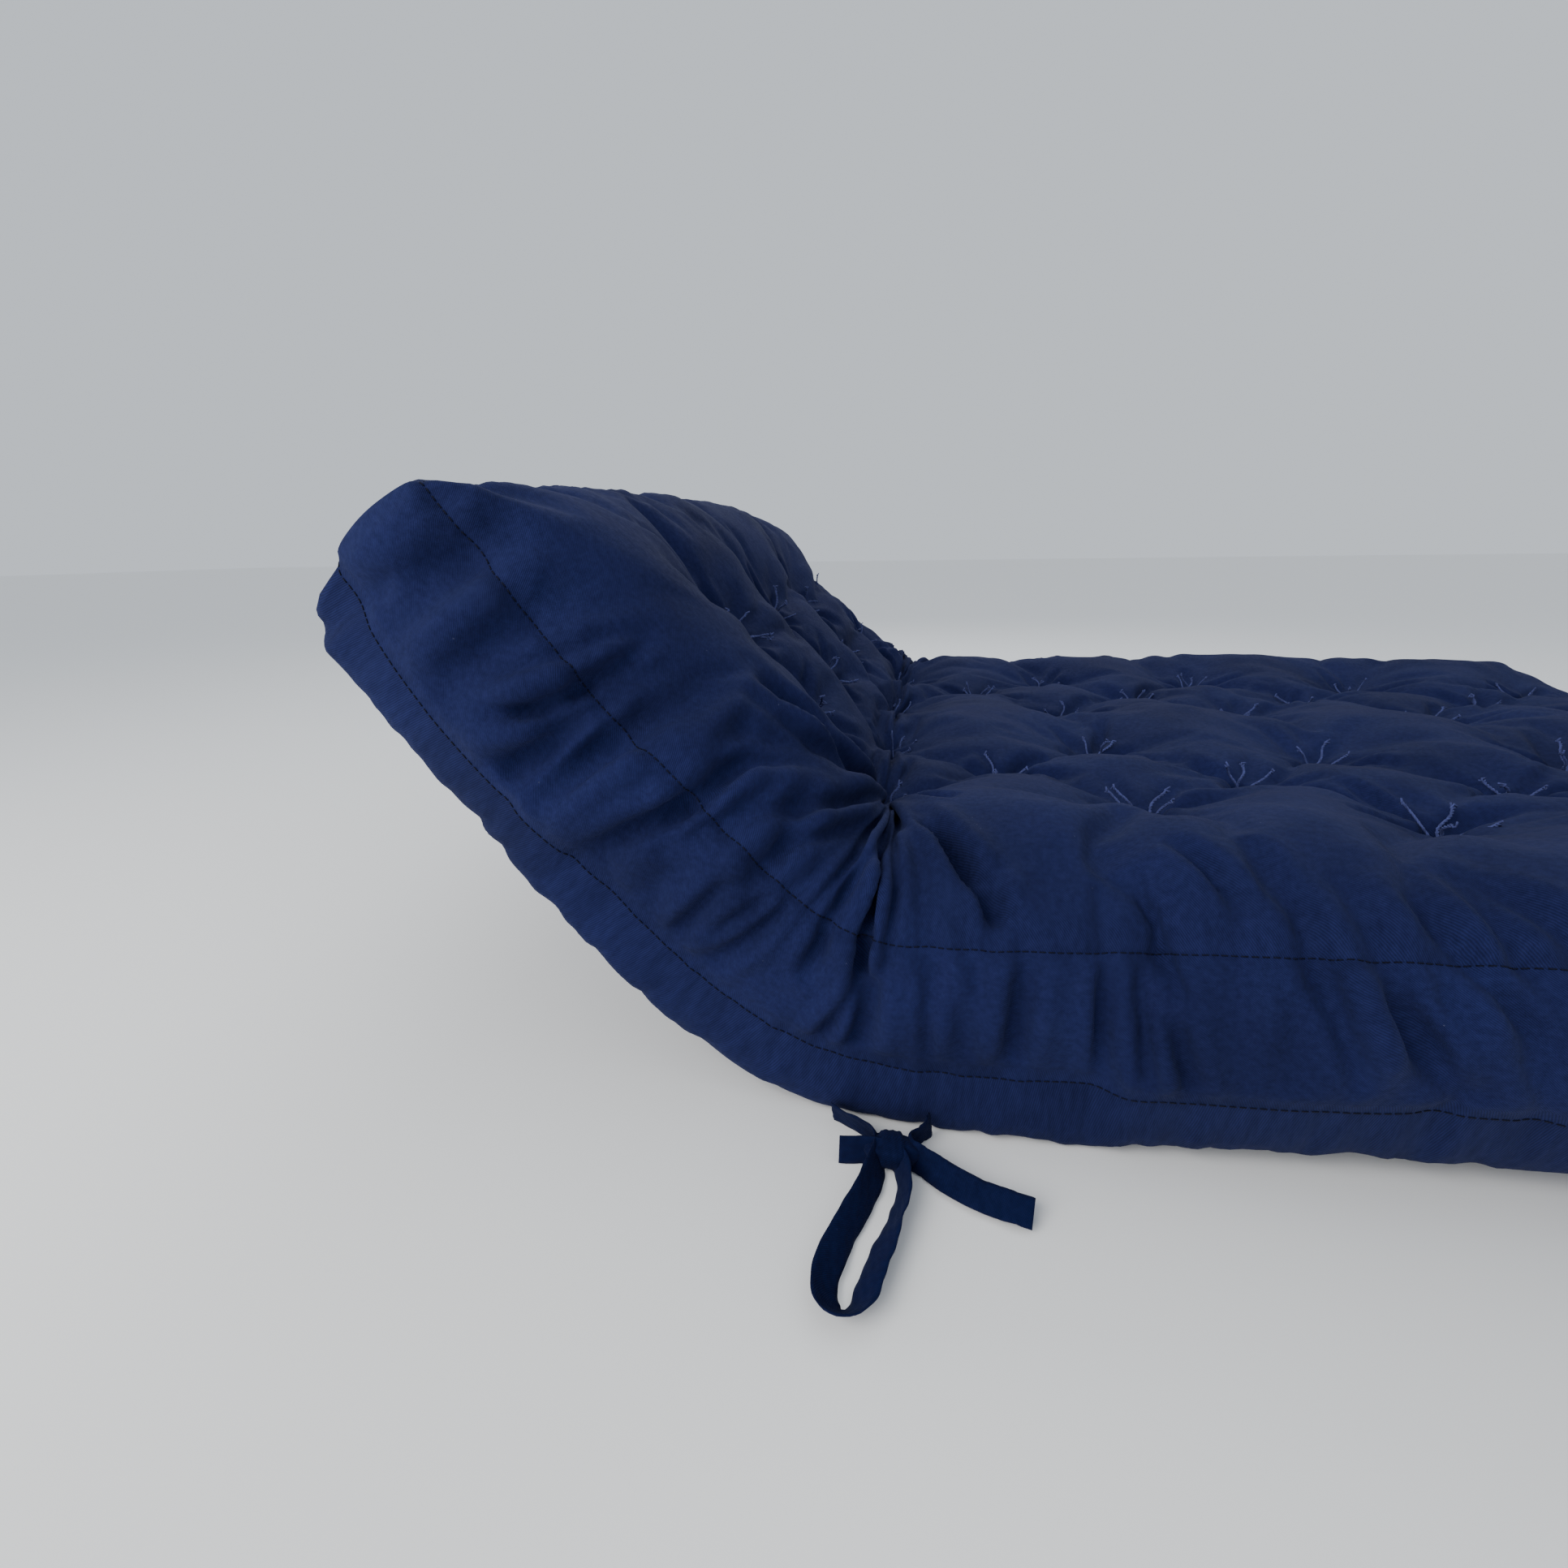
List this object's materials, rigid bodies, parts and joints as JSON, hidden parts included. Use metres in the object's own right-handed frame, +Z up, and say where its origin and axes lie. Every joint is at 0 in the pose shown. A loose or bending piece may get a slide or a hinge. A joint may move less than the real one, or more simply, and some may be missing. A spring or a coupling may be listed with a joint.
{
  "type": "futon mattress",
  "caption": "Tufted futon mattress with boxed sides, folded up at the head end, with a fabric tie at the fold.",
  "frame": {"origin": "middle of the bounding box's bottom face, without the tie: on the surface that the mattress lies on", "axes": "+X runs along the mattress from the raised head end to the foot, +Y across the width to the side without the tie, +Z up"},
  "size_m": [1.8511, 1.606, 0.6156],
  "materials": {
    "navy_twill": "matt cotton twill",
    "tie_twill": "matt cotton twill",
    "tufting_thread": "twisted cotton thread",
    "cotton_batting": "felted cotton",
    "foam": "open-cell foam"
  },
  "bodies": {
    "flat_section": {"border_far_flat": "navy_twill", "border_far_fold": "navy_twill", "border_foot_end": "navy_twill", "border_near_flat": "navy_twill", "border_near_fold": "navy_twill", "bottom_panel_flat": "navy_twill", "bottom_panel_fold": "navy_twill", "foam_core_flat": "foam", "foam_core_fold": "foam", "lower_batting_flat": "cotton_batting", "lower_batting_fold": "cotton_batting", "tie_knot": "tie_twill", "tie_left_lead": "tie_twill", "tie_loop": "tie_twill", "tie_right_lead": "tie_twill", "tie_short_end": "tie_twill", "tie_tail": "tie_twill", "top_panel_flat": "navy_twill", "top_panel_fold": "navy_twill", "tuft_row_flat_1": "tufting_thread", "tuft_row_flat_2": "tufting_thread", "tuft_row_flat_3": "tufting_thread", "tuft_row_flat_4": "tufting_thread", "tuft_row_flat_5": "tufting_thread", "tuft_row_flat_6": "tufting_thread", "tuft_row_flat_7": "tufting_thread", "tuft_row_flat_8": "tufting_thread", "tuft_row_fold": "tufting_thread", "upper_batting_flat": "cotton_batting", "upper_batting_fold": "cotton_batting"},
    "head_section": {"border_far_head": "navy_twill", "border_head_end": "navy_twill", "border_near_head": "navy_twill", "bottom_panel_head": "navy_twill", "foam_core_head": "foam", "lower_batting_head": "cotton_batting", "top_panel_head": "navy_twill", "tuft_row_head_1": "tufting_thread", "tuft_row_head_2": "tufting_thread", "upper_batting_head": "cotton_batting"}
  },
  "joints": [
    {"name": "head_fold", "type": "hinge", "parent": "flat_section", "child": "head_section", "pos_m": [-0.4644, 0, 0.09], "axis": [0, 1, 0], "range_deg": [-47, 29], "deforming": ["border_far_fold", "border_near_fold", "bottom_panel_fold", "foam_core_fold", "lower_batting_fold", "top_panel_fold", "tuft_row_fold", "upper_batting_fold"]}
  ]
}
